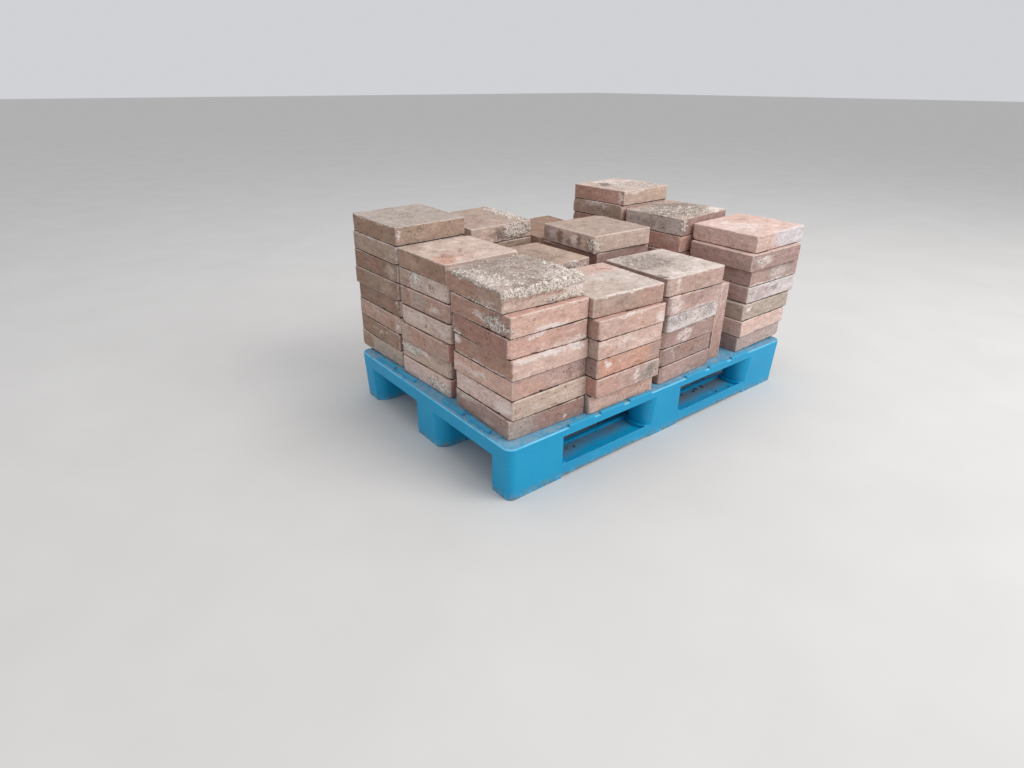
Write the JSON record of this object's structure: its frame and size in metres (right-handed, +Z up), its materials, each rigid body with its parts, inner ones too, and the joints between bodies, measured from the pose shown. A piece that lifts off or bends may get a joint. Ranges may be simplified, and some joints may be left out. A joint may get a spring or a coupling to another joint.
{
  "type": "pallet of terracotta tiles",
  "caption": "Moulded plastic pallet with runners, loaded with rows of stacked square terracotta floor tiles and one tile stood on edge.",
  "frame": {"origin": "middle of the pallet's underside, on the floor", "axes": "+X along the pallet's long side, +Y across it away from the front row of stacks, +Z up"},
  "size_m": [1.2521, 0.8688, 0.6077],
  "materials": {
    "blue_plastic": "satin",
    "terracotta": "matte"
  },
  "bodies": {
    "root": {"pallet": "blue_plastic", "tile_stack_front_1": "terracotta", "tile_stack_front_2": "terracotta", "tile_stack_front_3": "terracotta", "tile_stack_front_4": "terracotta", "tile_stack_middle_1": "terracotta", "tile_stack_middle_2": "terracotta", "tile_stack_middle_3": "terracotta", "tile_stack_middle_4": "terracotta", "tile_stack_back_1": "terracotta", "tile_stack_back_2": "terracotta", "tile_stack_back_3": "terracotta", "tile_stack_back_4": "terracotta", "upright_tile": "terracotta"}
  },
  "joints": []
}
